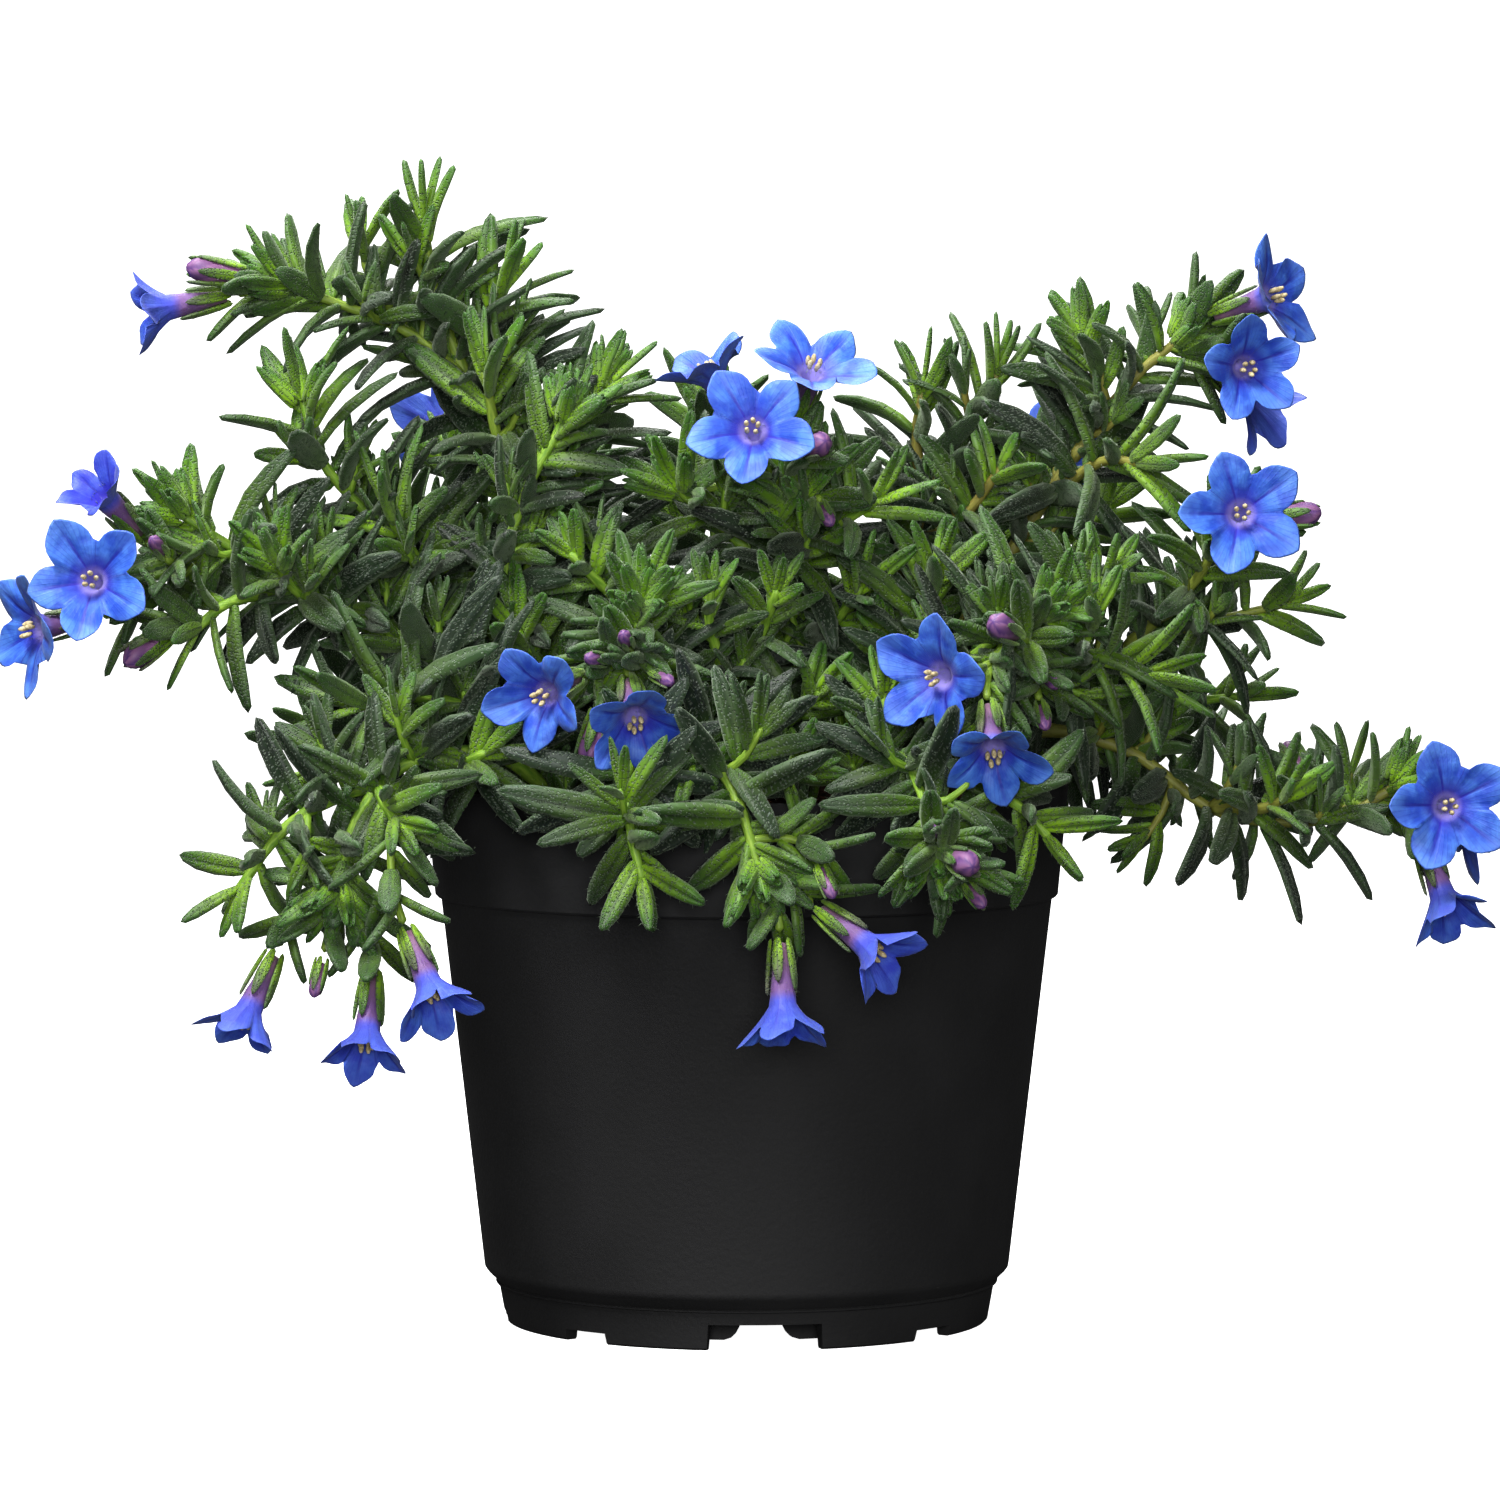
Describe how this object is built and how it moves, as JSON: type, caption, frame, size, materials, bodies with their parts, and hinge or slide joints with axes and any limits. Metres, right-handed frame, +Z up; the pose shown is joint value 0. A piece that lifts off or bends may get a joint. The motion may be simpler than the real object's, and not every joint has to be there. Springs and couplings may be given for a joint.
{
  "type": "potted lithodora",
  "caption": "Low evergreen plant of arching hairy leafy stems with blue five-lobed flowers, growing in a round black plastic nursery pot.",
  "frame": {"origin": "on the ground, under the middle of the pot's base", "axes": "+Z up, -Y towards the viewer of the picture, +X to the right"},
  "size_m": [0.2543, 0.1757, 0.1994],
  "materials": {
    "pot": "matte black moulded polypropylene with a fine grain",
    "soil": "rough dark peat",
    "leaf": "dull hairy green leaf and stem",
    "petal": "soft satin blue petal",
    "bud": "soft satin pink-purple bud"
  },
  "bodies": {
    "root": {"pot": "pot", "soil": "soil", "stem_top_left": "leaf", "stem_bud_head": "leaf", "stem_left_upper": "leaf", "stem_left_flower": "leaf", "stem_left_large_leaves": "leaf", "stem_lower_left": "leaf", "stem_centre_left": "leaf", "stem_centre_small": "leaf", "stem_centre_top": "leaf", "stem_top_right_inner": "leaf", "stem_top_right": "leaf", "stem_right_flower": "leaf", "stem_right_centre": "leaf", "stem_right_low": "leaf", "stem_front_left": "leaf", "stem_front_centre": "leaf", "stem_front_right": "leaf", "stem_back_left_high": "leaf", "stem_back_high": "leaf", "stem_back_right_high": "leaf", "stem_back_left_low": "leaf", "stem_back_low": "leaf", "stem_back_right_low": "leaf", "flower_1": "petal", "bud_1": "bud", "flower_2": "petal", "flower_3": "petal", "flower_4": "petal", "bud_2": "bud", "flower_5": "petal", "flower_6": "petal", "flower_7": "petal", "flower_8": "petal", "flower_9": "petal", "bud_3": "bud", "flower_10": "petal", "flower_11": "petal", "flower_12": "petal", "bud_4": "bud", "flower_13": "petal", "flower_14": "petal", "flower_15": "petal", "flower_16": "petal", "bud_5": "bud", "flower_17": "petal", "flower_18": "petal", "bud_6": "bud", "flower_19": "petal", "flower_20": "petal", "flower_21": "petal", "bud_7": "bud", "flower_22": "petal", "flower_23": "petal", "bud_8": "bud", "flower_24": "petal", "flower_25": "petal", "flower_26": "petal", "flower_27": "petal"}
  },
  "joints": []
}
